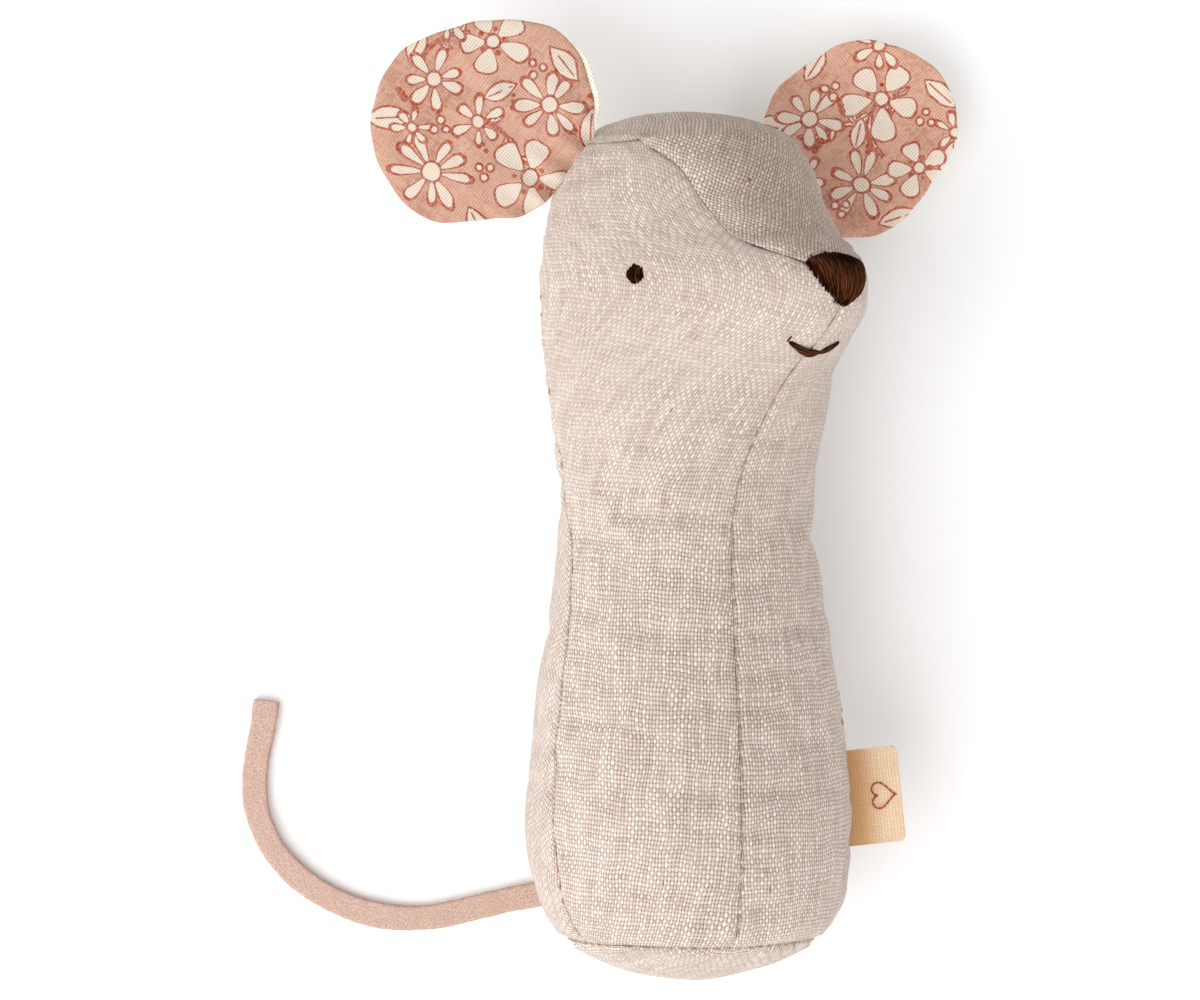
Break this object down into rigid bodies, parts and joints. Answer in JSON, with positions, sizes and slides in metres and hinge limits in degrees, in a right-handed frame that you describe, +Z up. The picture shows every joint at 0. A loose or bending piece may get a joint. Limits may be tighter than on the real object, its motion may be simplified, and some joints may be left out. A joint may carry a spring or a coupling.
{
  "type": "soft mouse rattle",
  "caption": "Stuffed linen mouse rattle with a long body and head in one, floral cotton ears, stitched face, suede strip tail, side tape tab and loose balls in a capsule inside.",
  "frame": {"origin": "on the surface the mouse lies on, under the middle of the mouse without its tail", "axes": "+Y along the body from base to head, +Z up from the surface, +X towards the side that the snout points to"},
  "size_m": [0.1155, 0.1497, 0.0563],
  "materials": {
    "linen": "matte",
    "sewing_thread": "matte",
    "fibre_fill": "matte",
    "capsule_plastic": "matte",
    "ball_plastic": "gloss",
    "printed_cotton": "matte",
    "ear_lining_linen": "matte",
    "embroidery_thread": "matte",
    "suede": "matte",
    "woven_tape": "matte"
  },
  "bodies": {
    "body": {"side_panel_left": "linen", "side_panel_right": "linen", "back_panel": "linen", "base_panel": "linen", "front_seam_thread": "sewing_thread", "side_seam_thread_left": "sewing_thread", "side_seam_thread_right": "sewing_thread", "base_seam_thread": "sewing_thread", "stuffing": "fibre_fill", "capsule_lower": "capsule_plastic", "capsule_upper": "capsule_plastic", "eye_left": "embroidery_thread", "eye_right": "embroidery_thread", "nose": "embroidery_thread", "mouth": "embroidery_thread"},
    "ear_left": {"ear_print_left": "printed_cotton", "ear_lining_left": "ear_lining_linen"},
    "ear_right": {"ear_print_right": "printed_cotton", "ear_lining_right": "ear_lining_linen"},
    "tail": {"tail": "suede"},
    "label": {"label": "woven_tape"},
    "rattle_ball_1": {"ball_1": "ball_plastic"},
    "rattle_ball_2": {"ball_2": "ball_plastic"},
    "rattle_ball_3": {"ball_3": "ball_plastic"},
    "rattle_ball_4": {"ball_4": "ball_plastic"},
    "rattle_ball_5": {"ball_5": "ball_plastic"}
  },
  "joints": [
    {"name": "ear_left_fold", "type": "hinge", "parent": "body", "child": "ear_left", "pos_m": [0.01996, 0.04936, 0.00447], "axis": [0.6193, -0.7708, -0.1493], "range_deg": [-10, 55], "stiffness_Nm_per_rad": 0.006},
    {"name": "ear_right_fold", "type": "hinge", "parent": "body", "child": "ear_right", "pos_m": [-0.01682, 0.05141, 0.02675], "axis": [0.5673, 0.7555, 0.3276], "range_deg": [-50, 55], "stiffness_Nm_per_rad": 0.006},
    {"name": "tail_swing", "type": "hinge", "parent": "body", "child": "tail", "pos_m": [-0.0075, -0.0619, 0.0016], "axis": [0, 0, 1], "range_deg": [-45, 45]},
    {"name": "label_flap", "type": "hinge", "parent": "body", "child": "label", "pos_m": [0.0292, -0.04684, 0.0222], "axis": [0.1045, -0.9945, 0], "range_deg": [-50, 50], "stiffness_Nm_per_rad": 0.00006},
    {"name": "ball_1_rattle", "type": "slide", "parent": "body", "child": "rattle_ball_1", "axis": [0, 0, 1], "range_m": [0, 0.0134]},
    {"name": "ball_2_rattle", "type": "slide", "parent": "body", "child": "rattle_ball_2", "axis": [0, 0, 1], "range_m": [0, 0.0134]},
    {"name": "ball_3_rattle", "type": "slide", "parent": "body", "child": "rattle_ball_3", "axis": [0, 0, 1], "range_m": [0, 0.0134]},
    {"name": "ball_4_rattle", "type": "slide", "parent": "body", "child": "rattle_ball_4", "axis": [0, 0, 1], "range_m": [0, 0.0134]},
    {"name": "ball_5_rattle", "type": "slide", "parent": "body", "child": "rattle_ball_5", "axis": [0, 0, 1], "range_m": [0, 0.0134]}
  ]
}
